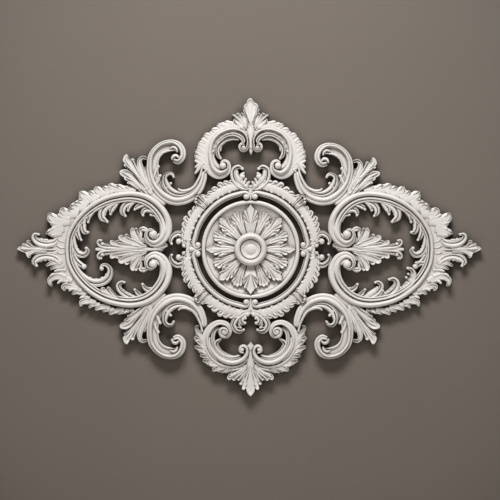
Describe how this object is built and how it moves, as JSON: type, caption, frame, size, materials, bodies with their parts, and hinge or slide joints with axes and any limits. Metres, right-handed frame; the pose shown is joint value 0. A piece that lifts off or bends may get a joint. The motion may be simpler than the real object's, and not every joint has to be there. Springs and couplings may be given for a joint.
{
  "type": "ceiling rose",
  "caption": "Long lozenge-shaped plaster ceiling rose: a flower boss in a leafy ring, held in open scrolls, hooked acanthus leaves and palmettes, with a flat back.",
  "frame": {"origin": "middle of the hub, on the flat back that lies against the ceiling or wall", "axes": "+X along the rose's length, +Z along its width towards the taller finial, -Y out of the relief, +Y into the ceiling or wall; for a ceiling, turn it about X until +Y points up"},
  "size_m": [1.3013, 0.043, 0.8345],
  "materials": {
    "plaster": "off-white painted plaster, matt"
  },
  "bodies": {
    "root": {"ceiling_rose": "plaster"}
  },
  "joints": []
}
